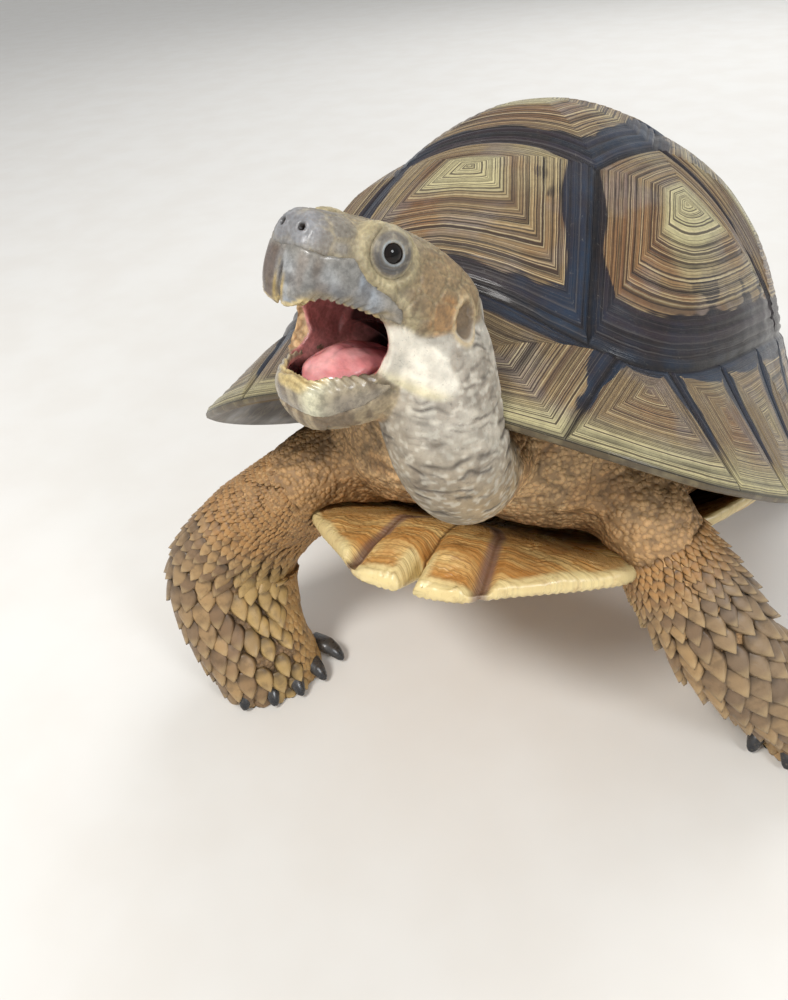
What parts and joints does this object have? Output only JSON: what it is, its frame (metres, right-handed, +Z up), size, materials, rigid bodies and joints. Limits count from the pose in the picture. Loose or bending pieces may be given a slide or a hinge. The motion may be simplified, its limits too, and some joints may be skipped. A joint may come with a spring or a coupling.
{
  "type": "tortoise",
  "caption": "Still, life-size African spurred tortoise standing with its front raised, head up and mouth open; a museum-type display model.",
  "frame": {"origin": "on the floor under the middle of the whole animal's box", "axes": "-Y towards the animal's front, +X towards its left side, +Z up"},
  "size_m": [0.2964, 0.3152, 0.2343],
  "materials": {
    "shell": "satin horn with growth rings",
    "plastron": "satin horn with growth rings",
    "skin": "dry, granular and wrinkled",
    "limb": "large overlapping scales",
    "head": "smooth flat scales",
    "beak": "satin horn",
    "claw": "glossy horn",
    "eye": "wet gloss",
    "tongue": "wet gloss"
  },
  "bodies": {
    "root": {"beak_lower": "beak", "beak_upper": "beak", "carapace": "shell", "claw_fore_left_1": "claw", "claw_fore_left_2": "claw", "claw_fore_left_3": "claw", "claw_fore_left_4": "claw", "claw_fore_left_5": "claw", "claw_fore_right_1": "claw", "claw_fore_right_2": "claw", "claw_fore_right_3": "claw", "claw_fore_right_4": "claw", "claw_fore_right_5": "claw", "claw_hind_left_1": "claw", "claw_hind_left_2": "claw", "claw_hind_left_3": "claw", "claw_hind_left_4": "claw", "claw_hind_right_1": "claw", "claw_hind_right_2": "claw", "claw_hind_right_3": "claw", "claw_hind_right_4": "claw", "eye_left": "eye", "eye_right": "eye", "foreleg_left": "limb", "foreleg_right": "limb", "head": "head", "hindleg_left": "limb", "hindleg_right": "limb", "jaw": "head", "neck": "skin", "plastron": "plastron", "tail": "limb", "throat": "skin", "tongue": "tongue", "trunk": "skin"}
  },
  "joints": []
}
